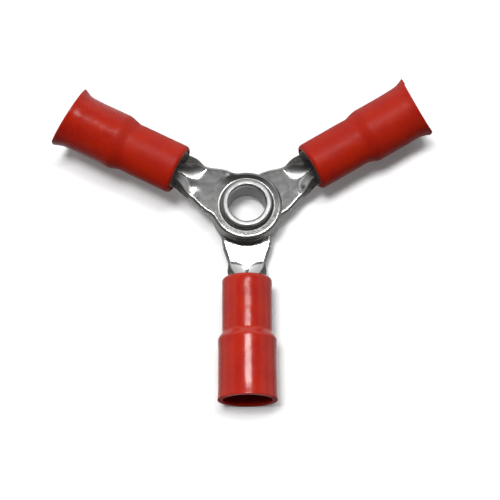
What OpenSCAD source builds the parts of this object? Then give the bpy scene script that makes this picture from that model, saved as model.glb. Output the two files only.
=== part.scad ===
// Three-way splice connector: three insulated ring terminals whose rings are stacked and clinched
// together by one hollow rivet. The origin is the middle of the stack on the axis of the rivet. +Z runs
// up that axis towards the rolled lip, and the lower arm points to -Y. All sizes are in millimetres.

/* [Arms] */
// Direction of the lower arm, whose ring is at the bottom of the stack, in degrees from +X
lower_angle = -90; // [-100:1:-80]
// Direction of the middle arm, whose ring is in the middle of the stack, in degrees from +X
middle_angle = 31; // [20:0.5:40]
// Direction of the upper arm, whose ring is on top of the stack, in degrees from +X
upper_angle = 153; // [140:0.5:160]

/* [Ring and tongue] */
// Thickness of the tin-plated copper sheet
sheet_t = 0.8; // [0.6:0.05:1]
// Outer diameter of a ring
ring_od = 6.15; // [5.8:0.05:6.6]
// Width of the tongue where it leaves the ring
tongue_w = 4.3; // [3.8:0.1:4.7]
// Radius of the fillet between the ring and the tongue
fillet_r = 1.5; // [0.8:0.1:1.8]
// Width of the neck, the narrow strip that the tongue ends in
neck_w = 3.2; // [2.8:0.1:3.6]
// Distance from the axis of the rivet at which the tongue has narrowed to its neck
neck_x = 5; // [4.6:0.1:5.8]

/* [Rolled barrel] */
// Bore of the barrel, which takes the stripped end of a wire
barrel_id = 1.7; // [1.5:0.1:2]
// Length of the rolled barrel
barrel_l = 4.6; // [4:0.1:5.2]
// Distance of the front edge of the barrel from the axis of the rivet
barrel_x = 6.6; // [6.4:0.05:7.2]
// Length over which the neck widens into the front edge of the barrel
shoulder_l = 0.3; // [0.2:0.05:0.6]
// Length over which the flat strip curls up to the round of the barrel, ending at the sleeve
curl_l = 1.95; // [1.6:0.05:2.2]
// Gap left between the two edges of the sheet along the top of the barrel
seam_gap = 0.06; // [0.04:0.01:0.12]
// Width of the V between the two corners of the sheet at the front of the seam
notch_w = 0.6; // [0.4:0.1:1.2]
// Length of that V
notch_l = 0.5; // [0.4:0.1:0.9]
// Chamfer inside the rear end of the barrel that leads the wire in
lead_in = 0.15; // [0.05:0.05:0.3]

/* [Hollow rivet] */
// Bore of the rivet
rivet_bore = 3.24; // [2.8:0.02:3.3]
// Wall of the rivet
rivet_wall = 0.2; // [0.16:0.02:0.26]
// Radial clearance between the rivet and the holes of the rings
rivet_fit = 0.03; // [0.01:0.01:0.06]
// Radius left inside the rolled lip
lip_gap = 0.05; // [0.02:0.01:0.08]
// Straight drop of the rolled lip onto the upper ring
lip_drop = 0.06; // [0.04:0.01:0.15]
// Diameter of the pressed lower flange
flange_od = 5; // [4.6:0.1:5.4]
// Radius between the bore and the underside of the lower flange
flange_bend_r = 0.32; // [0.28:0.02:0.5]

/* [Vinyl sleeves] */
// Length of a sleeve
sleeve_l = 10.6; // [10:0.1:11.4]
// Length of sleeve that reaches past the front edge of the barrel
hood_l = 0.15; // [0.1:0.05:0.25]
// Radial clearance between the barrel and the sleeve
sleeve_fit = 0.02; // [0.01:0.01:0.04]
// Wall of the sleeve over the barrel
sleeve_wall = 0.41; // [0.34:0.01:0.5]
// Length of the narrow part of the sleeve
narrow_l = 4.6; // [4.4:0.1:5]
// Length of the step up to the wide part
step_l = 1.4; // [1:0.1:1.6]
// Outer diameter of the wide part, which takes the insulation of a wire
skirt_od = 4.94; // [4.7:0.02:5.2]
// Wall of the wide part
skirt_wall = 0.45; // [0.36:0.01:0.5]
// Radius of the outer edge at the ring end of the sleeve
corner_r = 0.3; // [0.15:0.05:0.33]
// Length of the flare at the mouth
flare_l = 1.2; // [0.8:0.1:1.6]
// Radius of the two edges of the mouth
mouth_break = 0.08; // [0.04:0.01:0.15]
// Growth in radius at the mouth of the lower sleeve, which is hardly flared
lower_flare = 0.04; // [0:0.01:0.3]
// Growth in radius at the mouth of the middle sleeve
middle_flare = 0.2; // [0:0.01:0.3]
// Growth in radius at the mouth of the upper sleeve
upper_flare = 0.22; // [0:0.01:0.3]

/* [Hidden] */
$fn = 96;

// Colours of the tin plate and of the vinyl
tin = [0.72, 0.73, 0.75];
rivet_tin = [0.82, 0.83, 0.84];
vinyl = [0.72, 0.13, 0.1];

// The stack: plate levels count up from the bottom ring
LOWER = 0;
MIDDLE = 1;
UPPER = 2;
stack_t = 3 * sheet_t;
stack_top = stack_t / 2;
stack_bottom = -stack_t / 2;

// The ring and the straight root of the tongue, joined by fillets outside both
ring_r = ring_od / 2;
root_hw = tongue_w / 2;
fillet_y = root_hw + fillet_r;
fillet_x = sqrt(pow(ring_r + fillet_r, 2) - pow(fillet_y, 2));
fillet_a = atan2(fillet_y, fillet_x);

// The barrel, rolled from the same sheet with its lowest line in the plane of the tongue's underside
neck_hw = neck_w / 2;
barrel_ir = barrel_id / 2;
barrel_or = barrel_ir + sheet_t;
barrel_mr = barrel_ir + sheet_t / 2;
barrel_end_x = barrel_x + barrel_l;
shoulder_x = barrel_x - shoulder_l;
sleeve_x = barrel_x - hood_l;
flat_end_x = sleeve_x - curl_l;
edge_break = 0.08;
tab_hw = PI * barrel_mr - seam_gap / 2;

// The curl is meshed, so its last section lies this far inside the wall of the round barrel
curl_inset = 0.03;
NECK_STATIONS = 12;
SHOULDER_STATIONS = 8;
CURL_STRIPS = 20;

// The rivet
rivet_ir = rivet_bore / 2;
rivet_or = rivet_ir + rivet_wall;
ring_hole_r = rivet_or + rivet_fit;
lip_r = rivet_wall + lip_gap;
lip_x = rivet_ir + lip_r;
lip_z = stack_top + lip_drop;
flange_r = flange_od / 2;
flange_z = stack_bottom - rivet_wall;

// The sleeve, whose own length is measured from its ring end
grip_r = barrel_or + sleeve_fit;
narrow_r = grip_r + sleeve_wall;
skirt_r = skirt_od / 2;
skirt_ir = skirt_r - skirt_wall;
barrel_end_gap = 0.15;
grip_l = barrel_end_x - sleeve_x + barrel_end_gap;
step_end = narrow_l + step_l;
bore_break = 0.1;
CURVE_STEPS = 8;
EDGE_STEPS = 3;

// Rises smoothly from 0 to 1 as t goes from 0 to 1
function ease(t) = let (u = min(1, max(0, t))) u * u * (3 - 2 * u);

// Points of an arc round [cx, cy], from angle a0 to angle a1
function arc(cx, cy, r, a0, a1, steps) = [
    for (i = [0:steps])
        let (a = a0 + (a1 - a0) * i / steps)
            [cx + r * cos(a), cy + r * sin(a)]
];

// Points of a smooth step in radius, from (z0, r0) to (z1, r1), as [radius, height]
function eased_step(z0, r0, z1, r1) = [
    for (i = [0:CURVE_STEPS])
        let (t = i / CURVE_STEPS)
            [r0 + (r1 - r0) * ease(t), z0 + (z1 - z0) * t]
];

// Points of a flare that starts along its axis at (z0, r0) and opens as a parabola to (z1, r1)
function flared(z0, r0, z1, r1) = [
    for (i = [0:CURVE_STEPS])
        let (t = i / CURVE_STEPS)
            [r0 + (r1 - r0) * t * t, z0 + (z1 - z0) * t]
];

// The same points in the opposite order
function reverse(points) = [for (i = [len(points) - 1:-1:0]) points[i]];

// Half the width of the flat blank at distance x from the rivet: the tongue narrows to its neck, and
// past the neck the blank widens by a quarter ellipse into the tab that is rolled into the barrel
function blank_hw(x) =
    x <= shoulder_x
    ? root_hw + (neck_hw - root_hw) * ease((x - fillet_x) / (neck_x - fillet_x))
    : neck_hw + (tab_hw - curl_inset - neck_hw) * (1 - sqrt(1 - pow(min(1, (x - shoulder_x) / shoulder_l), 2)));

// Curvature of the sheet at distance x: flat at flat_end_x, the round of the barrel from the sleeve on
function curl_k(x) = ease((x - flat_end_x) / curl_l) / barrel_mr;

// Thickness of the meshed sheet at distance x, a little less where it meets the round barrel
function curl_t(x) = sheet_t - 2 * curl_inset * ease((x - flat_end_x) / curl_l);

// Point of the curled sheet at distance x, at width w along its middle line, and h above that line
function curl_point(x, w, h) =
    let (k = curl_k(x), a = k * w * 180 / PI)
        k < 0.0001
        ? [x, w, sheet_t / 2 + h]
        : [x, sin(a) / k - h * sin(a), sheet_t / 2 + (1 - cos(a)) / k + h * cos(a)];

// One closed section of the curled sheet: along its underside, then back along its top
function curl_section(x) = [
    for (i = [0:CURL_STRIPS])
        curl_point(x, blank_hw(x) * (2 * i / CURL_STRIPS - 1), -curl_t(x) / 2),
    for (i = [CURL_STRIPS:-1:0])
        curl_point(x, blank_hw(x) * (2 * i / CURL_STRIPS - 1), curl_t(x) / 2)
];

// Distances of the sections: even along the neck, then closer where the shoulder opens out
function curl_x(i) =
    i <= NECK_STATIONS
    ? flat_end_x + (shoulder_x - flat_end_x) * i / NECK_STATIONS
    : shoulder_x + shoulder_l * sin(90 * (i - NECK_STATIONS) / SHOULDER_STATIONS);

// Puts something made along +X, with its underside at z = 0, on its arm and its level of the stack
module on_arm(angle, level) {
    rotate([0, 0, angle])
        translate([0, 0, stack_bottom + level * sheet_t])
            children();
}

// Outline of the ring and of the flat part of the tongue
module blank_outline() {
    ring_arc = arc(0, 0, ring_r, 180, fillet_a, 32);
    fillet_arc = arc(fillet_x, fillet_y, fillet_r, fillet_a + 180, 270, CURVE_STEPS);
    tongue_edge = [
        for (i = [1:CURVE_STEPS])
            let (x = fillet_x + (flat_end_x - fillet_x) * i / CURVE_STEPS)
                [x, blank_hw(x)]
    ];
    edge = concat(ring_arc, [for (i = [1:CURVE_STEPS]) fillet_arc[i]], tongue_edge);
    last = len(edge) - 1;
    polygon(concat(edge, [for (i = [last:-1:1]) [edge[i][0], -edge[i][1]]]));
}

// The sheet as it curls up from the flat tongue to the front edge of the barrel
module curl() {
    ring_n = 2 * (CURL_STRIPS + 1);
    stations = NECK_STATIONS + SHOULDER_STATIONS;
    points = [for (i = [0:stations]) each curl_section(curl_x(i))];
    sides = [
        for (i = [0:stations - 1], j = [0:ring_n - 1])
            let (a = i * ring_n + j, b = i * ring_n + (j + 1) % ring_n)
                each [[a, a + ring_n, b], [b, a + ring_n, b + ring_n]]
    ];
    end_base = stations * ring_n;
    caps = [
        for (j = [0:CURL_STRIPS - 1])
            let (k = ring_n - 1 - j)
                each [[j, j + 1, k], [j + 1, k - 1, k],
                    [end_base + j, end_base + k, end_base + j + 1],
                    [end_base + j + 1, end_base + k, end_base + k - 1]]
    ];
    polyhedron(points, concat(sides, caps));
}

// The round barrel, lying along +X
module barrel_tube() {
    translate([barrel_x, 0, barrel_or])
        rotate([0, 90, 0])
            rotate_extrude()
                polygon([
                    [barrel_ir, 0],
                    [barrel_or, 0],
                    [barrel_or, barrel_l - edge_break],
                    [barrel_or - edge_break, barrel_l],
                    [barrel_ir + lead_in, barrel_l],
                    [barrel_ir, barrel_l - lead_in]
                ]);
}

// The butted seam along the top of the barrel, with the V between the two corners at its front
module seam_cut() {
    translate([0, 0, barrel_or])
        linear_extrude(2 * barrel_or)
            polygon([
                [shoulder_x, -notch_w / 2],
                [barrel_x, -notch_w / 2],
                [barrel_x + notch_l, -seam_gap / 2],
                [barrel_end_x + 1, -seam_gap / 2],
                [barrel_end_x + 1, seam_gap / 2],
                [barrel_x + notch_l, seam_gap / 2],
                [barrel_x, notch_w / 2],
                [shoulder_x, notch_w / 2]
            ]);
}

module terminal(angle, level) {
    on_arm(angle, level)
        color(tin)
            difference() {
                union() {
                    linear_extrude(sheet_t)
                        blank_outline();
                    curl();
                    barrel_tube();
                }
                translate([0, 0, -sheet_t])
                    cylinder(h = 3 * sheet_t, r = ring_hole_r);
                seam_cut();
            }
}

// Section of a sleeve as [radius, length from its ring end], outside first and then back inside
function sleeve_section(flare) =
    let (mouth_r = skirt_r + flare, mouth_ir = mouth_r - skirt_wall, rim_z = sleeve_l - mouth_break)
        concat(
            arc(narrow_r - corner_r, corner_r, corner_r, -90, 0, CURVE_STEPS),
            eased_step(narrow_l, narrow_r, step_end, skirt_r),
            flared(sleeve_l - flare_l, skirt_r, rim_z, mouth_r),
            [for (i = [1:EDGE_STEPS]) arc(mouth_r - mouth_break, rim_z, mouth_break, 0, 90, EDGE_STEPS)[i]],
            arc(mouth_ir + mouth_break, rim_z, mouth_break, 90, 180, EDGE_STEPS),
            [for (p = reverse(flared(sleeve_l - flare_l, skirt_ir, rim_z, mouth_ir))) if (p[1] < rim_z) p],
            [
                [skirt_ir, step_end],
                [grip_r, grip_l],
                [grip_r, bore_break],
                [grip_r + bore_break, 0]
            ]
        );

module sleeve(angle, level, flare) {
    on_arm(angle, level)
        color(vinyl)
            translate([sleeve_x, 0, barrel_or])
                rotate([0, 90, 0])
                    rotate_extrude()
                        polygon(sleeve_section(flare));
}

// The hollow rivet: its lip is rolled over onto the upper ring and its flange is pressed under the
// lower one
module eyelet() {
    color(rivet_tin)
        rotate_extrude()
            polygon(concat(
                arc(lip_x, lip_z, lip_r, 180, 0, 2 * CURVE_STEPS),
                [
                    [lip_x + lip_r, stack_top],
                    [lip_x + lip_gap, stack_top]
                ],
                arc(lip_x, lip_z, lip_gap, 0, 180, CURVE_STEPS),
                [[rivet_or, stack_bottom]],
                arc(flange_r - rivet_wall / 2, stack_bottom - rivet_wall / 2, rivet_wall / 2, 90, -90, CURVE_STEPS),
                arc(rivet_ir + flange_bend_r, flange_z + flange_bend_r, flange_bend_r, 270, 180, CURVE_STEPS)
            ));
}

module upper_terminal() {
    terminal(upper_angle, UPPER);
}

module middle_terminal() {
    terminal(middle_angle, MIDDLE);
}

module lower_terminal() {
    terminal(lower_angle, LOWER);
}

module upper_sleeve() {
    sleeve(upper_angle, UPPER, upper_flare);
}

module middle_sleeve() {
    sleeve(middle_angle, MIDDLE, middle_flare);
}

module lower_sleeve() {
    sleeve(lower_angle, LOWER, lower_flare);
}

eyelet();
upper_terminal();
middle_terminal();
lower_terminal();
upper_sleeve();
middle_sleeve();
lower_sleeve();
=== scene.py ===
# Looks of the three-way splice connector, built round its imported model. All positions are in the
# model's own frame. Lengths are written in millimetres and turned into metres when a mesh is made.
import math

import bpy
import numpy as np
from mathutils import Matrix, Vector


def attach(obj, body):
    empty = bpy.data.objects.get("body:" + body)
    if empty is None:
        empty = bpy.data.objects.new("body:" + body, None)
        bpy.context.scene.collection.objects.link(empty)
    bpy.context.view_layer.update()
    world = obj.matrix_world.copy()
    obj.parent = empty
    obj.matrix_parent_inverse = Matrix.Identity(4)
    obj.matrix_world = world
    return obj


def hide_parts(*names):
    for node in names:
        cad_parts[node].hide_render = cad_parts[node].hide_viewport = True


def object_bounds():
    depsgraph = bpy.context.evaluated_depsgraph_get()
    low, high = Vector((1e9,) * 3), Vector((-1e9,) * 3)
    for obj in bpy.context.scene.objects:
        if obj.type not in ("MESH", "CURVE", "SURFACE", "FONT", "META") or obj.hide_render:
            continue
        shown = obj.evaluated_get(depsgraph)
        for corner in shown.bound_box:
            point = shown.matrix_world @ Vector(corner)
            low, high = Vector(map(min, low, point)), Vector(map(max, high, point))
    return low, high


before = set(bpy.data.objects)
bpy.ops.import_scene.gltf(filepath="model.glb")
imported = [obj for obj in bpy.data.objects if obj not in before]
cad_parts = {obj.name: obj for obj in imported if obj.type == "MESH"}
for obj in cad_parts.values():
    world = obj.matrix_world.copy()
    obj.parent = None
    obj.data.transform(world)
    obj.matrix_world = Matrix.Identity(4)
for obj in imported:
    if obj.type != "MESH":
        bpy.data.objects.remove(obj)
cad_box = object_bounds()

MM = 0.001

# The arms: direction in degrees from +X and level in the stack
ARMS = {"lower": (-90.0, 0), "middle": (31.0, 1), "upper": (153.0, 2)}

# The sheet and the flat blank of a terminal
SHEET = 0.8
STACK_TOP = 1.5 * SHEET
RING_R = 3.075
RING_HOLE_R = 1.85
ROOT_HW = 2.15
FILLET_R = 1.5
NECK_HW = 1.6
NECK_X = 5.0
SHOULDER_L = 0.3

# The rolled barrel
BARREL_IR = 0.85
BARREL_OR = BARREL_IR + SHEET
BARREL_MR = BARREL_IR + SHEET / 2
BARREL_X = 6.6
BARREL_END = 11.2
SEAM_GAP = 0.06
SHOULDER_X = BARREL_X - SHOULDER_L
TAB_HW = math.pi * BARREL_MR - SEAM_GAP / 2

# The sleeves, whose own length runs from their ring end
SLEEVE_X = 6.45
SLEEVE_L = 10.6
CURL_L = 1.95
FLAT_END = SLEEVE_X - CURL_L
GRIP_R = 1.67
NARROW_R = 2.08
NARROW_L = 4.6
STEP_END = 6.0
# Where the outer step of each sleeve begins and ends. The lower sleeve's is tighter
STEP = {"lower": (4.72, 5.5), "middle": (NARROW_L, STEP_END), "upper": (NARROW_L, STEP_END)}
SKIRT_R = 2.47
SKIRT_WALL = 0.45
BARREL_END_GAP = 0.15
GRIP_L = BARREL_END - SLEEVE_X + BARREL_END_GAP
SLEEVE_CORNER = 0.33
MOUTH_EDGE = 0.08
BORE_BREAK = 0.1
FLARE_L = 1.2
FLARE = {"lower": 0.04, "middle": 0.2, "upper": 0.22}

# The rivet
RIVET_IR = 1.62
RIVET_WALL = 0.2
LIP_GAP = 0.05
LIP_R = RIVET_WALL + LIP_GAP
LIP_DROP = 0.06
LIP_Z = STACK_TOP + LIP_DROP
FLANGE_R = 2.5
FLANGE_BEND = 0.32
# The clinched lip is pressed flat on top, leans a little to one side and stands a little proud
LIP_FLATNESS = 0.55
LIP_SPREAD = 0.04
LIP_SHIFT = (0.05, 0.06)
LIP_LIFT = 0.10
# Its uneven radius and height: size, waves in a turn and phase
LIP_UNEVEN_R = ((0.010, 3, 0.6), (0.006, 7, 2.0))
LIP_UNEVEN_Z = (0.012, 2, 1.1)

# Points of one piece that are nearer to each other than this become one
WELD_GAP = 0.0005


def ease(t):
    t = min(1.0, max(0.0, t))
    return t * t * (3 - 2 * t)


def eased(x, span):
    """Rises smoothly from 0 to 1 over a span of (start, length)."""
    return ease((x - span[0]) / span[1])


def arc(cx, cy, r, a0, a1, steps, first=0):
    """Points of an arc round (cx, cy), from angle a0 to a1 in degrees."""
    out = []
    for i in range(first, steps + 1):
        a = math.radians(a0 + (a1 - a0) * i / steps)
        out.append((cx + r * math.cos(a), cy + r * math.sin(a)))
    return out


def new_piece(name, points, faces, node):
    """A smooth mesh piece from points in millimetres, which stands for one node of the model."""
    mesh = bpy.data.meshes.new(name)
    mesh.from_pydata([tuple(c * MM for c in p) for p in points], [], faces)
    mesh.validate()
    mesh.polygons.foreach_set("use_smooth", [True] * len(mesh.polygons))
    mesh.update()
    piece = bpy.data.objects.new(name, mesh)
    bpy.context.scene.collection.objects.link(piece)
    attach(piece, "root")
    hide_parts(node)
    return piece


def point_layer(piece, name, values):
    """Stores one number for each point of a piece."""
    layer = piece.data.attributes.new(name, "FLOAT", "POINT")
    layer.data.foreach_set("value", np.array(values, np.float32))


def weld(piece):
    """Joins the points of a piece that fall on one another."""
    modifier = piece.modifiers.new("Weld", "WELD")
    modifier.merge_threshold = WELD_GAP * MM


def on_arm(arm, x, w, z):
    """A point at distance x along an arm, w across it, and z above the underside of its plate."""
    angle, level = ARMS[arm]
    a = math.radians(angle)
    height = -STACK_TOP + level * SHEET + z
    return (x * math.cos(a) - w * math.sin(a), x * math.sin(a) + w * math.cos(a), height)


# Sleeves

def sleeve_profile(flare, step_from, step_end):
    """A sleeve's section as (length from its ring end, radius), outside first, then back inside."""
    corner, rim = SLEEVE_CORNER, MOUTH_EDGE
    mouth_r = SKIRT_R + flare
    mouth_ir = mouth_r - SKIRT_WALL
    skirt_ir = SKIRT_R - SKIRT_WALL
    rim_s = SLEEVE_L - rim
    flare_s = SLEEVE_L - FLARE_L
    out = [(s, r) for r, s in arc(NARROW_R - corner, corner, corner, -90, 0, 8)]
    out += [(corner + (step_from - corner) * i / 18, NARROW_R) for i in range(1, 18)]
    out += [(step_from + (step_end - step_from) * i / 22,
             NARROW_R + (SKIRT_R - NARROW_R) * ease(i / 22)) for i in range(23)]
    out += [(step_end + (flare_s - step_end) * i / 14, SKIRT_R) for i in range(1, 14)]
    out += [(flare_s + (rim_s - flare_s) * i / 14, SKIRT_R + flare * (i / 14) ** 2)
            for i in range(15)]
    out += [(s, r) for r, s in arc(mouth_r - rim, rim_s, rim, 0, 90, 4, 1)]
    out += [(s, r) for r, s in arc(mouth_ir + rim, rim_s, rim, 90, 180, 4)]
    out += [(flare_s + (rim_s - flare_s) * i / 12, skirt_ir + flare * (i / 12) ** 2)
            for i in range(11, -1, -1)]
    out += [(STEP_END + (flare_s - STEP_END) * i / 8, skirt_ir) for i in range(7, -1, -1)]
    out += [(GRIP_L + (STEP_END - GRIP_L) * i / 8, GRIP_R + (skirt_ir - GRIP_R) * ease(i / 8))
            for i in range(7, -1, -1)]
    out += [(GRIP_L * i / 6, GRIP_R) for i in range(5, 0, -1)]
    out += [(BORE_BREAK, GRIP_R), (0.0, GRIP_R + BORE_BREAK)]
    return out


# How each soft sleeve strays from a true round. Lengths are in mm and angles in degrees.
# camera_side: 1 where the arm's +across side faces the camera, -1 where it faces away
# slant: how far the mouth is cut back on one side and out on the other
# lean: how far the mouth's underside reaches out past its top
# near, far: how far the mouth is drawn out to a point on the camera's side and on the far side
# swell, plump: growth over the barrel on the camera's side, and all round
# evened: how much the step is softened on the far side
# oval, oval_angle: share by which the mouth is oval, and where its long axis points
# phase: shift of the slow waves, in radians
SLEEVE_SET = {
    "lower": {"camera_side": 0.0, "slant": 0.0, "lean": 0.05, "near": 0.0, "far": 0.0,
              "swell": 0.0, "plump": 0.06, "evened": 0.0,
              "oval": 0.006, "oval_angle": 20.0, "phase": 0.3},
    "middle": {"camera_side": -1.0, "slant": 0.22, "lean": 0.84, "near": 0.10, "far": 0.16,
               "swell": 0.04, "plump": 0.0, "evened": 0.08,
               "oval": 0.012, "oval_angle": 70.0, "phase": 1.9},
    "upper": {"camera_side": 1.0, "slant": 0.18, "lean": 0.55, "near": 0.06, "far": 0.22,
              "swell": 0.17, "plump": 0.0, "evened": 0.05,
              "oval": 0.010, "oval_angle": 110.0, "phase": 4.1},
}
# The part of a lean by which the mouth's sides reach out
LEAN_SIDES = 0.70
# Length over which a mouth is drawn out to its points
LIP_L = 1.4
# Spans of (start, length) over which the swell and the plumpness fade out, and over which the
# evening of the step turns round and fades out
SWELL_FADE = (4.0, 2.5)
PLUMP_FADE = (4.2, 2.5)
EVENED_TURN = (4.2, 1.8)
EVENED_FADE = (8.3, 1.5)
# The slow waves of the vinyl: size, waves in a turn, shift for each mm, and share of the phase
WAVES = ((0.010, 2, 0.8, 1), (0.006, 3, -1.3, 2), (0.004, 5, 2.1, 0))


def sleeve_warp(k, s, r, theta):
    """Where the point (s, r) of a sleeve's section ends up at angle theta, as a new (s, r)."""
    loose = ease((s - NARROW_L) / (SLEEVE_L - NARROW_L))
    wave = sum(size * math.sin(waves * theta + shift * s + share * k["phase"])
               for size, waves, shift, share in WAVES)
    squash = k["oval"] * loose * math.cos(2 * (theta - math.radians(k["oval_angle"])))
    r2 = r * (1 + squash) + wave * loose
    lip = ease((s - SLEEVE_L + LIP_L) / LIP_L)
    side = math.cos(theta) * k["camera_side"]
    r2 += k["near" if side > 0 else "far"] * lip * lip * side ** 4
    r2 += k["swell"] * max(0.0, side) ** 2 * (1 - eased(s, SWELL_FADE))
    r2 += k["plump"] * (1 - eased(s, PLUMP_FADE))
    step = (1 - 2 * eased(s, EVENED_TURN)) * (1 - eased(s, EVENED_FADE))
    r2 += k["evened"] * max(0.0, -side) ** 2 * step
    reach = k["slant"] * math.cos(theta) + k["lean"] * (LEAN_SIDES - max(0.0, math.sin(theta)))
    return s + loose * loose * reach, r2


def make_sleeve(arm):
    """One sleeve, with its length along the arm and how far each point faces down as attributes."""
    profile = sleeve_profile(FLARE[arm], *STEP[arm])
    turns = 112
    points, along, under = [], [], []
    for s, r in profile:
        for j in range(turns):
            theta = 2 * math.pi * j / turns
            s2, r2 = sleeve_warp(SLEEVE_SET[arm], s, r, theta)
            across, up = r2 * math.cos(theta), r2 * math.sin(theta)
            points.append(on_arm(arm, SLEEVE_X + s2, across, BARREL_OR + up))
            along.append(s)
            under.append(-math.sin(theta))
    n = len(profile)
    faces = []
    for i in range(n):
        for j in range(turns):
            k, m = (i + 1) % n, (j + 1) % turns
            faces.append((i * turns + j, k * turns + j, k * turns + m, i * turns + m))
    piece = new_piece(arm + "_sleeve_vinyl", points, faces, arm + "_sleeve")
    point_layer(piece, "along", along)
    point_layer(piece, "under", under)
    return piece


# Terminals

FILLET_Y = ROOT_HW + FILLET_R
FILLET_X = math.sqrt((RING_R + FILLET_R) ** 2 - FILLET_Y ** 2)
FILLET_A = math.degrees(math.atan2(FILLET_Y, FILLET_X))
# Steps of the outline round the ring and round its fillet
RING_STEPS, FILLET_STEPS = 56, 12
# The last outline point whose rib runs to the ring's hole: the fourth along the tongue
JOIN = RING_STEPS + FILLET_STEPS + 4


def blank_hw(x):
    """Half the width of the flat blank at distance x."""
    if x <= SHOULDER_X:
        return ROOT_HW + (NECK_HW - ROOT_HW) * ease((x - FILLET_X) / (NECK_X - FILLET_X))
    t = min(1.0, (x - SHOULDER_X) / SHOULDER_L)
    return NECK_HW + (TAB_HW - NECK_HW) * (1 - math.sqrt(max(0.0, 1 - t * t)))


def half_outline():
    """The blank's outline from the far side of the ring to the rear corner of the barrel's tab."""
    out = arc(0, 0, RING_R, 180, FILLET_A, RING_STEPS)
    out += arc(FILLET_X, FILLET_Y, FILLET_R, FILLET_A + 180, 270, FILLET_STEPS, 1)
    spans = [(FILLET_X, FLAT_END, 16), (FLAT_END, SHOULDER_X, 30)]
    for x0, x1, steps in spans:
        for i in range(1, steps + 1):
            x = x0 + (x1 - x0) * i / steps
            out.append((x, blank_hw(x)))
    for i in range(1, 11):
        x = SHOULDER_X + SHOULDER_L * math.sin(math.radians(9 * i))
        out.append((x, blank_hw(x)))
    length = BARREL_END - BARREL_X
    tail = [0.1, 0.25, 0.4, 0.55, 0.7, 0.82, 0.92, 0.965, 0.98, 0.988, 0.994, 1.0]
    out += [(BARREL_X + length * t, TAB_HW) for t in tail]
    return out


def edge_drop(e, r):
    """How far a rounded edge has dropped at distance e from the edge."""
    return 0.0 if e >= r else r - math.sqrt(max(0.0, r * r - (r - e) ** 2))


# How far each blank's line of lowest points strays sideways as it curls, how far before the curl
# this begins, and over which length it grows
ROLL = {"lower": 0.0, "middle": -0.20, "upper": 0.25}
ROLL_LEAD, ROLL_L = 0.3, 1.0


def curl_at(arm, x):
    """The curl's curvature at x and where across the blank its lowest line is."""
    e = ease((x - FLAT_END) / CURL_L)
    return e, e / BARREL_MR, ROLL[arm] * ease((x - FLAT_END + ROLL_LEAD) / ROLL_L)


def curl_place(arm, x, w, h):
    """A point of the blank at (x, w), h above its middle line, after the curl: (x, across, up)."""
    e, k, low = curl_at(arm, x)
    if k < 1e-4:
        return x, w, SHEET / 2 + h
    a = k * (w - low)
    across = math.sin(a) / k - h * math.sin(a) + low * (1 - e)
    return x, across, SHEET / 2 + (1 - math.cos(a)) / k + h * math.cos(a)


# The upper ring is pressed in round the rivet's lip and crowned towards its edge. For each ring:
# the depth of the press, and the drop of its edge at the far side and at the near side
PRESSED = {"lower": (0.0, 0.0, 0.0), "middle": (0.0, 0.0, 0.0), "upper": (0.06, 0.14, 0.004)}
PRESS_R = 2.18
PRESS_SLOPE = 0.20
CROWN_R = 2.40
CROWN_END = (1.9, 1.2)
FAR_SIDE, NEAR_SIDE = 80.0, 225.0
# Small dents left by the crimping tool: distance, across, height and radius of each
DENTS = {
    "lower": [(5.02, 0.0, 0.008, 0.20)],
    "middle": [(5.26, -1.05, 0.030, 0.26)],
    "upper": [(4.95, 0.55, 0.035, 0.42)],
}
# The lower tongue is bent down a little between its ring and its neck. For the start and for the
# end of the bend: where it begins and its length
TONGUE_DIP = {"lower": 0.16, "middle": 0.0, "upper": 0.0}
DIP_START = (2.6, 2.6)
DIP_END = (5.3, 1.2)


def dents(arm, x, w):
    """The height of each dent of an arm and how near the point (x, w) is to it, from 0 to 1."""
    return [(h, math.exp(-((x - a) ** 2 + (w - b) ** 2) / c ** 2)) for a, b, h, c in DENTS[arm]]


def relief(arm, x, w, top):
    """How far the finished sheet lies above the plain blank at (x, w)."""
    dip = TONGUE_DIP[arm] * eased(x, DIP_START) * (1 - eased(x, DIP_END))
    if not top:
        return -dip
    press, far_drop, near_drop = PRESSED[arm]
    r = math.hypot(x, w)
    groove = press * (1 - min(1.0, max(0.0, (r - PRESS_R) / PRESS_SLOPE)))
    turn = math.degrees(math.atan2(w, x)) + ARMS[arm][0]
    drop = far_drop * max(0.0, math.cos(math.radians(turn - FAR_SIDE))) ** 2
    drop += near_drop * max(0.0, math.cos(math.radians(turn - NEAR_SIDE))) ** 2
    out = min(1.0, max(0.0, (r - CROWN_R) / (RING_R - CROWN_R)))
    crown = drop * out ** 1.5 * (1 - eased(x, CROWN_END))
    bump = sum(h * near for h, near in dents(arm, x, w))
    return bump - groove - crown - dip


# Tilt of the curled sheet, in radians, from which its plating is dull
DULL_FROM = {"lower": 0.05, "middle": 0.03, "upper": 0.06}
DULL_SOFT = 0.06


def worn(arm, x, w):
    """Where the plating is dulled by the curl and painted with the curl's light and shade, and kept
    bright on the tool's dents.
    """
    e, k, low = curl_at(arm, x)
    bright = max(near for h, near in dents(arm, x, w))
    return ease((abs(k * (w - low)) - DULL_FROM[arm]) / DULL_SOFT) * (1 - bright)


def edge_distance(x, w, outline):
    """Distance from a point of the blank to its outline."""
    a = outline[:-1]
    d = outline[1:] - a
    q = np.array((x, abs(w))) - a
    t = np.clip((q * d).sum(1) / (d * d).sum(1), 0, 1)
    return float(np.sqrt(((q - d * t[:, None]) ** 2).sum(1)).min())


# Rounding of the blank's edges: on top of the flat sheet, what it loses in the curl, and below
EDGE_TOP, EDGE_LOST, EDGE_UNDER = 0.24, 0.14, 0.1
# Where the rounding on top begins to shrink, and over which length
EDGE_SPAN = (5.2, 1.0)
# Rounding of the rear end of the barrel
BARREL_END_EDGE = 0.12
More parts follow.
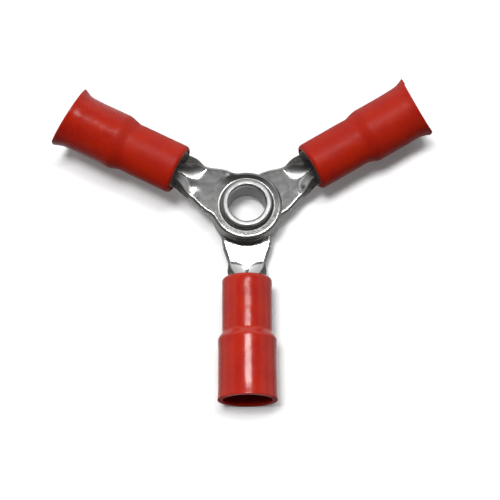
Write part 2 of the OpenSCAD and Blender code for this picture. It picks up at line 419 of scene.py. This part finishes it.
# How far the sheared edge reaches in from the edge, for the first points of each rib; there it is
# rough and painted dark as shade
SHEARED = {0: 1.0, 1: 0.9, 2: 0.7, 3: 0.45, 4: 0.25}


def top_edge(x):
    """Radius of the blank's upper edge at distance x."""
    return EDGE_TOP - EDGE_LOST * eased(x, EDGE_SPAN)


def make_terminal(arm):
    """One terminal: ribs run inwards from its outline and are rolled with the blank."""
    outline = half_outline()
    line = np.array(outline)
    n = len(outline)
    rounds, inner = 4, 18
    last = rounds + inner
    points, sheared, dull, flat, faces = [], [], [], [], []
    index = {}

    def add(key, x, w, e, mark):
        r_top = top_edge(x)
        end_drop = edge_drop(max(0.0, BARREL_END - x), BARREL_END_EDGE)
        for top, r in ((True, r_top), (False, EDGE_UNDER)):
            drop = max(edge_drop(e if top else e * r / r_top, r), end_drop)
            h = (SHEET / 2 - drop) * (1 if top else -1)
            index[(*key, top)] = len(points)
            along, across, up = curl_place(arm, x, w, h)
            points.append(on_arm(arm, along, across, up + relief(arm, x, w, top)))
            sheared.append(mark)
            dull.append(worn(arm, x, w))
            flat.append((x, w))

    def quad(a, b, c, d, turn):
        f = (index[a], index[b], index[c], index[d])
        faces.append(f if turn else f[::-1])

    def skin(a, b, j, side):
        """The upper and lower face between ribs a and b."""
        for top in (True, False):
            quad((*a, side, j, top), (*b, side, j, top), (*b, side, j + 1, top),
                 (*a, side, j + 1, top), (side < 0) == top)

    def edge_steps(r):
        """Distances from the edge of the points that round it."""
        return [r * (1 - math.cos(math.pi / 2 * k / rounds)) for k in range(rounds + 1)]

    ribs = []
    for i, (px, pw) in enumerate(outline):
        x0, w0 = outline[max(0, i - 1)]
        x1, w1 = outline[min(n - 1, i + 1)]
        length = math.hypot(x1 - x0, w1 - w0)
        nx, nw = (w1 - w0) / length, -(x1 - x0) / length
        a = math.atan2(pw, px)
        sx, sw = RING_HOLE_R * math.cos(a), RING_HOLE_R * math.sin(a)
        if i > JOIN:
            sx, sw = px, 0.0
        rib = math.hypot(sx - px, sw - pw)
        dx, dw = (sx - px) / rib, (sw - pw) / rib
        slope = max(0.5, abs(nx * dx + nw * dw))
        r = top_edge(px)
        edges = edge_steps(r)
        steps = [e / slope for e in edges]
        steps += [steps[-1] + (rib - steps[-1]) * k / inner for k in range(1, inner + 1)]
        for side in (1, -1):
            for j, d in enumerate(steps):
                e = edges[j] if j <= rounds else r
                add(("rib", i, side, j), px + dx * d, side * (pw + dw * d), e, SHEARED.get(j, 0.0))
        ribs.append(("rib", i))
        if i == JOIN:
            spacing = [d / rib for d in steps]

    # The tongue's first straight rib closes the ring: short ribs run from its points to the hole
    px, pw = outline[JOIN + 1]
    r = top_edge(px)
    chord = edge_steps(r) + [r + (pw - r) * k / inner for k in range(1, inner + 1)]
    for j, fall in enumerate(chord):
        qx, qw = px, pw - fall
        a = math.atan2(qw, qx)
        sx, sw = RING_HOLE_R * math.cos(a), RING_HOLE_R * math.sin(a)
        for side in (1, -1):
            for k in range(1, last + 1):
                t = spacing[k]
                x, w = qx + (sx - qx) * t, qw + (sw - qw) * t
                add(("web", j, side, k), x, side * w, edge_distance(x, w, line), 0.0)
            for top in (True, False):
                index[("web", j, side, 0, top)] = index[("rib", JOIN + 1, side, j, top)]

    pairs = [(ribs[i], ribs[i + 1]) for i in range(n - 1) if i != JOIN]
    pairs += [(ribs[JOIN], ("web", 0))] + [(("web", j), ("web", j + 1)) for j in range(last)]
    for a, b in pairs:
        for side in (1, -1):
            for j in range(last):
                skin(a, b, j, side)
            if b[0] == "rib" or a[0] == "rib":
                quad((*a, side, 0, True), (*b, side, 0, True), (*b, side, 0, False),
                     (*a, side, 0, False), side > 0)
            if b[0] == "web" or b[1] <= JOIN:
                quad((*a, side, last, True), (*b, side, last, True), (*b, side, last, False),
                     (*a, side, last, False), side < 0)
    for side in (1, -1):
        for j in range(last):
            quad(("rib", n - 1, side, j, True), ("rib", n - 1, side, j + 1, True),
                 ("rib", n - 1, side, j + 1, False), ("rib", n - 1, side, j, False), side < 0)

    piece = new_piece(arm + "_terminal_plated", points, faces, arm + "_terminal")
    point_layer(piece, "sheared", sheared)
    point_layer(piece, "dull", dull)
    point_layer(piece, "flat_x", [p[0] for p in flat])
    point_layer(piece, "flat_w", [p[1] for p in flat])
    weld(piece)
    normals = piece.modifiers.new("Normals", "WEIGHTED_NORMAL")
    normals.weight = 60
    return piece


# Rivet

def make_rivet():
    """The hollow rivet, turned from one section as (radius, height)."""
    lip_x = RIVET_IR + LIP_R
    flange_z = -STACK_TOP - RIVET_WALL
    bend = FLANGE_BEND
    bottom = -STACK_TOP
    profile = []
    for c, h in arc(0.0, 0.0, 1.0, 180, 0, 28):
        wide = LIP_R + (LIP_SPREAD if c > 0 else 0.0) * h ** 0.5
        out = math.copysign(abs(c) ** LIP_FLATNESS, c) * wide
        profile.append((lip_x + out, LIP_Z + h ** LIP_FLATNESS * LIP_R))
    profile += [(lip_x + LIP_R, STACK_TOP), (lip_x + LIP_GAP, STACK_TOP)]
    profile += arc(lip_x, LIP_Z, LIP_GAP, 0, 180, 8)
    profile += [(RIVET_IR + RIVET_WALL, STACK_TOP * (1 - i / 4)) for i in range(1, 8)]
    profile += [(RIVET_IR + RIVET_WALL, bottom)]
    profile += arc(FLANGE_R - RIVET_WALL / 2, bottom - RIVET_WALL / 2, RIVET_WALL / 2, 90, -90, 10)
    profile += arc(RIVET_IR + bend, flange_z + bend, bend, 270, 180, 10)
    low = flange_z + bend
    profile += [(RIVET_IR, low + (LIP_Z - low) * i / 8) for i in range(1, 8)]
    turns = 144
    points, faces = [], []
    for r, z in profile:
        for j in range(turns):
            t = 2 * math.pi * j / turns
            lift = ease((z - STACK_TOP) / RIVET_WALL)
            r2 = r
            for size, waves, phase in LIP_UNEVEN_R:
                r2 += size * lift * math.sin(waves * t + phase)
            size, waves, phase = LIP_UNEVEN_Z
            z2 = z + size * lift * math.sin(waves * t + phase) + LIP_LIFT * lift
            x, y = r2 * math.cos(t) + LIP_SHIFT[0] * lift, r2 * math.sin(t) + LIP_SHIFT[1] * lift
            points.append((x, y, z2))
    n = len(profile)
    for i in range(n):
        for j in range(turns):
            k, m = (i + 1) % n, (j + 1) % turns
            faces.append((i * turns + j, i * turns + m, k * turns + m, k * turns + j))
    piece = new_piece("rivet_rolled", points, faces, "eyelet")
    weld(piece)
    return piece


# Materials

# Colours of the vinyl: its own, its darker mottle and its warmer clouds
VINYL = (0.44, 0.015, 0.003)
VINYL_DARK = (0.38, 0.011, 0.006)
VINYL_WARM = (0.47, 0.021, 0.004)
# Colours of the plated pieces
TIN_SPOTS = (0.36, 0.35, 0.34)
# Painted shadow in the groove round the rivet's lip
LIP_SHADOW_PAINT = (0.10, 0.10, 0.095)
# Painted shade at the ring's far side
FAR_SIDE_SHADE_PAINT = (0.13, 0.13, 0.125)
# Painted shade on the sheared side walls
EDGE_SHADE_DARK = (0.07, 0.065, 0.06)
EDGE_SHADE_LIGHT = (0.19, 0.18, 0.17)
RIVET_BRIGHT = (0.45, 0.45, 0.445)
RIVET_CLOUD = (0.36, 0.36, 0.355)
# Painted shade in the rivet's bore
RIVET_BORE_SHADE = (0.075, 0.074, 0.072)


class Nodes:
    """Short calls for building a node tree."""

    def __init__(self, tree):
        self.tree = tree
        tree.nodes.clear()

    def add(self, kind, **values):
        node = self.tree.nodes.new(kind)
        for name, value in values.items():
            setattr(node, name, value)
        return node

    def link(self, a, b):
        self.tree.links.new(a, b)

    def radius(self, a, b):
        """The length of the vector (a, b)."""
        squares = self.math("ADD", self.math("MULTIPLY", a, a), self.math("MULTIPLY", b, b))
        return self.math("SQRT", squares)

    def split(self, vector):
        """The three parts of a vector."""
        node = self.add("ShaderNodeSeparateXYZ")
        self.link(vector, node.inputs[0])
        return node.outputs

    def join(self, a, b):
        """The vector (a, b, 0)."""
        node = self.add("ShaderNodeCombineXYZ")
        self.link(a, node.inputs[0])
        self.link(b, node.inputs[1])
        return node.outputs[0]

    def clouds(self, vector, scale, detail, rough, low=0.3, high=0.7, out_low=0.0, out_high=1.0):
        """Noise brought to a range of its own."""
        return self.ramp(self.noise(vector, scale, detail, rough), low, high, out_low, out_high)

    def position(self):
        """Object coordinates in millimetres."""
        coords = self.add("ShaderNodeTexCoord")
        scale = self.add("ShaderNodeVectorMath", operation="SCALE")
        scale.inputs["Scale"].default_value = 1 / MM
        self.link(coords.outputs["Object"], scale.inputs[0])
        return scale.outputs[0]

    def noise(self, vector, scale, detail=3.0, rough=0.5):
        node = self.add("ShaderNodeTexNoise")
        node.inputs["Scale"].default_value = scale
        node.inputs["Detail"].default_value = detail
        node.inputs["Roughness"].default_value = rough
        self.link(vector, node.inputs["Vector"])
        return node.outputs["Fac"]

    def ramp(self, value, low, high, out_low=0.0, out_high=1.0):
        node = self.add("ShaderNodeMapRange")
        node.interpolation_type = "SMOOTHSTEP"
        ends = {"From Min": low, "From Max": high, "To Min": out_low, "To Max": out_high}
        for name, end in ends.items():
            node.inputs[name].default_value = end
        self.link(value, node.inputs["Value"])
        return node.outputs["Result"]

    def math(self, operation, a, b=None):
        """Arithmetic on numbers or sockets."""
        node = self.add("ShaderNodeMath", operation=operation)
        for socket, value in zip(node.inputs, (a, b)):
            if value is None:
                continue
            if isinstance(value, (int, float)):
                socket.default_value = value
            else:
                self.link(value, socket)
        return node.outputs[0]

    def mix(self, fac, a, b):
        node = self.add("ShaderNodeMix", data_type="RGBA")
        self.link(fac, node.inputs[0])
        for socket, value in ((node.inputs[6], a), (node.inputs[7], b)):
            if isinstance(value, tuple):
                socket.default_value = (*value, 1.0)
            else:
                self.link(value, socket)
        return node.outputs[2]

    def attribute(self, name):
        node = self.add("ShaderNodeAttribute", attribute_name=name)
        return node.outputs["Fac"]

    def bump(self, height, distance, strength, normal=None):
        node = self.add("ShaderNodeBump")
        node.inputs["Distance"].default_value = distance * MM
        node.inputs["Strength"].default_value = strength
        self.link(height, node.inputs["Height"])
        if normal is not None:
            self.link(normal, node.inputs["Normal"])
        return node.outputs["Normal"]


def new_material(name):
    material = bpy.data.materials.new(name)
    material.use_nodes = True
    nodes = Nodes(material.node_tree)
    shader = nodes.add("ShaderNodeBsdfPrincipled")
    output = nodes.add("ShaderNodeOutputMaterial")
    nodes.link(shader.outputs[0], output.inputs["Surface"])
    return material, nodes, shader


def vinyl_material(name, painted_shade_factor, ior, gloss, dull, dull_from, dull_to):
    """Soft red vinyl of a given gloss, darkened by painted_shade_factor as painted shade, worn
    duller from dull_from to dull_to along it.
    """
    material, n, shader = new_material(name)
    p = n.position()
    mottle = n.clouds(p, 0.45, 3.0, 0.55, 0.35, 0.65)
    cloud = n.clouds(p, 2.2, 4.0, 0.6)
    # Painted shade darkens all three vinyl colours by one factor
    own, dark, warm = (tuple(painted_shade_factor * c for c in colour)
                       for colour in (VINYL, VINYL_DARK, VINYL_WARM))
    base = n.mix(n.math("MULTIPLY", cloud, 0.4), n.mix(mottle, own, dark), warm)
    n.link(base, shader.inputs["Base Color"])
    dulled = n.ramp(n.attribute("along"), dull_from, dull_to)
    rough = n.clouds(p, 3.0, 4.0, 0.6, out_low=gloss, out_high=gloss + 0.07)
    rough = n.math("ADD", rough, n.math("MULTIPLY", dulled, dull))
    # The cut rim is rough, and the sides and underside of a sleeve mirror little
    cut = n.ramp(n.attribute("along"), SLEEVE_L - 0.10, SLEEVE_L - 0.03, 0.0, 0.4)
    n.link(n.math("ADD", rough, cut), shader.inputs["Roughness"])
    shader.inputs["IOR"].default_value = ior
    matt = n.ramp(n.attribute("under"), -0.95, -0.45, 0.5, 0.08)
    n.link(matt, shader.inputs["Specular IOR Level"])
    peel = n.bump(n.noise(p, 4.0, 1.0, 0.5), 0.006, 0.2)
    slow = n.bump(n.noise(p, 1.1, 2.0, 0.5), 0.06, 0.4, peel)
    n.link(slow, shader.inputs["Normal"])
    return material


def tin_material(name, low, high, rough_low, rough_high, curl_painted_grey, dull_rough, frost, painted_ring_shade):
    """Tin-plated sheet with fine rolling lines, soft clouding, and rough sheared edges painted dark
    as shade.

    low, high: its two clouded greys; rough_low, rough_high: its roughness;
    curl_painted_grey: grey painted on the curl to stand in for its light and shade; dull_rough,
    frost: added roughness and matt share where the curl has dulled it;
    painted_ring_shade: whether the ring gets a painted shadow round the rivet's lip and painted
    shade at its far side.
    """
    material, n, shader = new_material(name)
    p = n.position()
    flat_x, flat_w = n.attribute("flat_x"), n.attribute("flat_w")
    # The rolling lines follow the blank
    blank = n.join(n.math("MULTIPLY", flat_x, 1.2), n.math("MULTIPLY", flat_w, 16.0))
    lines = n.noise(blank, 1.0, 3.0, 0.6)
    clouds = n.clouds(p, 0.9, 4.0, 0.6, 0.32, 0.68)
    spots = n.clouds(p, 5.0, 3.0, 0.65, 0.55, 0.75)
    base = n.mix(clouds, low, high)
    base = n.mix(n.math("MULTIPLY", spots, 0.35), base, TIN_SPOTS)
    dull = n.attribute("dull")
    # The curl is painted towards a set grey that stands in for its light and shade
    base = n.mix(n.math("MULTIPLY", dull, 0.6), base, (curl_painted_grey,) * 3)
    rough = n.clouds(p, 2.4, 4.0, 0.6, out_low=rough_low, out_high=rough_high)
    rough = n.math("ADD", rough, n.math("MULTIPLY", dull, dull_rough))
    if painted_ring_shade:
        radius = n.radius(flat_x, flat_w)
        # A painted shadow darkens the ring round the rivet's lip
        base = n.mix(n.ramp(radius, 2.42, 2.30), base, LIP_SHADOW_PAINT)
        # The ring's far side is painted darker, as shade
        far_side = n.ramp(n.split(p)[1], 1.7, 2.5, 0.0, 0.85)
        on_ring = n.ramp(radius, 3.5, 3.1)
        base = n.mix(n.math("MULTIPLY", far_side, on_ring), base, FAR_SIDE_SHADE_PAINT)
        rough = n.math("ADD", rough, n.ramp(radius, 2.48, 2.36, 0.0, 0.3))
    # The sheared edges are painted dark as the shade on the side walls; their added roughness is
    # their own
    edge = n.ramp(n.attribute("sheared"), 0.25, 0.95)
    edge_shade_colour = n.mix(n.clouds(p, 9.0, 2.0, 0.5, 0.35, 0.65), EDGE_SHADE_DARK, EDGE_SHADE_LIGHT)
    n.link(n.mix(edge, base, edge_shade_colour), shader.inputs["Base Color"])
    torn = n.ramp(n.attribute("sheared"), 0.05, 0.5)
    n.link(n.math("ADD", rough, n.math("MULTIPLY", torn, 0.25)), shader.inputs["Roughness"])
    n.link(n.math("SUBTRACT", 1.0, n.math("MULTIPLY", dull, frost)), shader.inputs["Metallic"])
    fine = n.bump(lines, 0.002, 0.08)
    soft = n.bump(n.noise(p, 1.2, 1.0, 0.5), 0.02, 0.2, fine)
    n.link(soft, shader.inputs["Normal"])
    return material


def rivet_material():
    """Bright tin on a drawn tube, with faint rings left by the clinching tool."""
    material, n, shader = new_material("bright_tin")
    p = n.position()
    x, y, z = n.split(p)
    radius = n.radius(x, y)
    ring = n.join(n.math("MULTIPLY", radius, 14.0), n.math("MULTIPLY", z, 9.0))
    tool = n.noise(ring, 1.0, 2.0, 0.5)
    bright = n.mix(n.clouds(p, 1.4, 4.0, 0.6), RIVET_BRIGHT, RIVET_CLOUD)
    # The bore is painted dark below the rolled lip, as shade
    in_bore = n.ramp(radius, RIVET_IR + 0.14, RIVET_IR + 0.08)
    below_lip = n.ramp(z, STACK_TOP + 0.10, STACK_TOP - 0.15)
    inside = n.math("MULTIPLY", in_bore, below_lip)
    n.link(n.mix(inside, bright, RIVET_BORE_SHADE), shader.inputs["Base Color"])
    rough = n.clouds(p, 3.0, 3.0, 0.6, out_low=0.38, out_high=0.44)
    n.link(rough, shader.inputs["Roughness"])
    shader.inputs["Metallic"].default_value = 1.0
    soft = n.bump(n.noise(p, 2.0, 2.0, 0.5), 0.02, 0.3)
    n.link(n.bump(tool, 0.008, 0.4, soft), shader.inputs["Normal"])
    return material


# Stage

def add_camera():
    """The photograph's camera, fitted to the object's own measures."""
    target = Vector((0.273, -3.729, 0.0)) * MM
    distance = 136.815 * MM
    e, roll = math.radians(72.138), math.radians(0.358)
    focal_px, frame_px, sensor_mm = 1584.7, 500.0, 36.0
    back = Vector((0.0, -math.cos(e), math.sin(e)))
    right, up = Vector((1.0, 0.0, 0.0)), Vector((0.0, math.sin(e), math.cos(e)))
    x = right * math.cos(roll) - up * math.sin(roll)
    y = right * math.sin(roll) + up * math.cos(roll)
    data = bpy.data.cameras.new("Camera")
    data.sensor_width = sensor_mm
    data.lens = focal_px * sensor_mm / frame_px
    data.clip_start = 0.002
    data.clip_end = 20.0
    camera = bpy.data.objects.new("Camera", data)
    m = Matrix((x, y, back)).transposed().to_4x4()
    m.translation = target + back * distance
    camera.matrix_world = m
    bpy.context.scene.collection.objects.link(camera)
    bpy.context.scene.camera = camera


def add_light(name, direction, distance, width, height, radiance):
    """A soft box of a given radiance that faces the object from a direction. Lengths are in m."""
    d = Vector(direction).normalized()
    data = bpy.data.lights.new(name, "AREA")
    data.shape = "RECTANGLE"
    data.size, data.size_y = width, height
    data.energy = radiance * math.pi * width * height
    light = bpy.data.objects.new(name, data)
    right = Vector((0.0, 1.0, 0.0)).cross(d).normalized()
    m = Matrix((right, d.cross(right), d)).transposed().to_4x4()
    m.translation = d * distance
    light.matrix_world = m
    bpy.context.scene.collection.objects.link(light)
    return light


def grey(level):
    return (level, level, level)


def add_world():
    """A studio with a pale rear wall, a dim ceiling and a dark front. The camera sees it white."""
    world = bpy.data.worlds.new("Room")
    world.use_nodes = True
    n = Nodes(world.node_tree)
    direction = n.add("ShaderNodeTexCoord").outputs["Generated"]
    x, y, z = n.split(direction)
    # What the pieces mirror: the walls, the ceiling, and a paler patch of ceiling over the object
    walls = n.mix(n.ramp(y, -0.3, 0.75), grey(0.05), grey(1.0))
    mirrored = n.mix(n.ramp(z, 0.45, 0.75), walls, grey(0.11))
    toward = n.add("ShaderNodeVectorMath", operation="DOT_PRODUCT")
    toward.inputs[1].default_value = Vector((-0.02, 0.31, 0.95)).normalized()
    n.link(direction, toward.inputs[0])
    patch = n.ramp(toward.outputs["Value"], 0.84, 0.94)
    mirrored = n.mix(patch, mirrored, (0.20, 0.20, 0.205))
    # The light that the room sheds on matt surfaces
    soft = n.mix(n.ramp(y, -0.55, 0.8), grey(0.03), grey(0.46))
    path = n.add("ShaderNodeLightPath")
    room = n.add("ShaderNodeBackground")
    n.link(n.mix(path.outputs["Is Diffuse Ray"], mirrored, soft), room.inputs["Color"])
    white = n.add("ShaderNodeBackground")
    white.inputs["Color"].default_value = (*grey(1.0), 1.0)
    choice = n.add("ShaderNodeMixShader")
    output = n.add("ShaderNodeOutputWorld")
    n.link(path.outputs["Is Camera Ray"], choice.inputs[0])
    n.link(room.outputs[0], choice.inputs[1])
    n.link(white.outputs[0], choice.inputs[2])
    n.link(choice.outputs[0], output.inputs["Surface"])
    bpy.context.scene.world = world


def add_floor(z):
    """A plain pale floor, which keeps the object's shadow and lights it little from below."""
    half = 3.0
    corners = [(-half, -half, z), (half, -half, z), (half, half, z), (-half, half, z)]
    mesh = bpy.data.meshes.new("Floor")
    mesh.from_pydata(corners, [], [(0, 1, 2, 3)])
    floor = bpy.data.objects.new("Floor", mesh)
    bpy.context.scene.collection.objects.link(floor)
    material = bpy.data.materials.new("pale_floor")
    material.use_nodes = True
    n = Nodes(material.node_tree)
    paper = n.add("ShaderNodeBsdfDiffuse")
    glow = n.add("ShaderNodeEmission")
    path = n.add("ShaderNodeLightPath")
    seen = n.math("ADD", path.outputs["Is Camera Ray"], path.outputs["Is Glossy Ray"])
    seen = n.math("MINIMUM", seen, 1.0)
    n.link(n.math("MULTIPLY", seen, 0.08), glow.inputs["Strength"])
    n.link(n.mix(seen, grey(0.15), grey(0.90)), paper.inputs["Color"])
    both = n.add("ShaderNodeAddShader")
    output = n.add("ShaderNodeOutputMaterial")
    n.link(paper.outputs[0], both.inputs[0])
    n.link(glow.outputs[0], both.inputs[1])
    n.link(both.outputs[0], output.inputs["Surface"])
    mesh.materials.append(material)


bpy.context.scene.view_settings.view_transform = "Standard"
add_camera()
add_world()
# The softbox is mirrored by the tin and the vinyl. The key light only shades and casts the shadow
add_light("Softbox", (0.05, 0.160, 0.98), distance=0.5, width=0.19, height=0.080, radiance=19.0)
key = add_light("Key", (-0.18, 0.01, 0.98), distance=0.6, width=0.14, height=0.14, radiance=37.0)
key.visible_glossy = False
FLOOR_GAP = 0.02
add_floor(cad_box[0][2] - FLOOR_GAP * MM)

# The terminals are alike: the lower one is painted lighter as the light it catches, the upper and
# middle ones darker as shade, and the upper one has painted shade round the lip
lit_tin_lower = {"low": (0.66, 0.66, 0.65), "high": (0.58, 0.58, 0.57), "rough_low": 0.12,
             "rough_high": 0.16, "curl_painted_grey": 0.85, "dull_rough": 0.45, "frost": 0.38}
shaded_tin_others = {"low": (0.58, 0.58, 0.57), "high": (0.46, 0.46, 0.45), "rough_low": 0.11,
             "rough_high": 0.145, "curl_painted_grey": 0.40, "dull_rough": 0.28, "frost": 0.0}
tin = {
    "lower": tin_material("tin_lower", painted_ring_shade=False, **lit_tin_lower),
    "middle": tin_material("tin_middle", painted_ring_shade=False, **shaded_tin_others),
    "upper": tin_material("tin_upper", painted_ring_shade=True, **shaded_tin_others),
}
# The sleeves are alike: the middle and upper ones are painted darker, as shade
vinyl = {
    "lower": vinyl_material("vinyl_lower", painted_shade_factor=1.0, ior=1.52, gloss=0.17,
                            dull=0.0, dull_from=0.0, dull_to=1.0),
    "middle": vinyl_material("vinyl_middle", painted_shade_factor=0.88, ior=1.33, gloss=0.21,
                             dull=0.22, dull_from=-2.0, dull_to=-1.0),
    "upper": vinyl_material("vinyl_upper", painted_shade_factor=0.88, ior=1.34, gloss=0.25,
                            dull=0.18, dull_from=6.6, dull_to=5.4),
}
for arm_name in ARMS:
    make_terminal(arm_name).data.materials.append(tin[arm_name])
    make_sleeve(arm_name).data.materials.append(vinyl[arm_name])
make_rivet().data.materials.append(rivet_material())
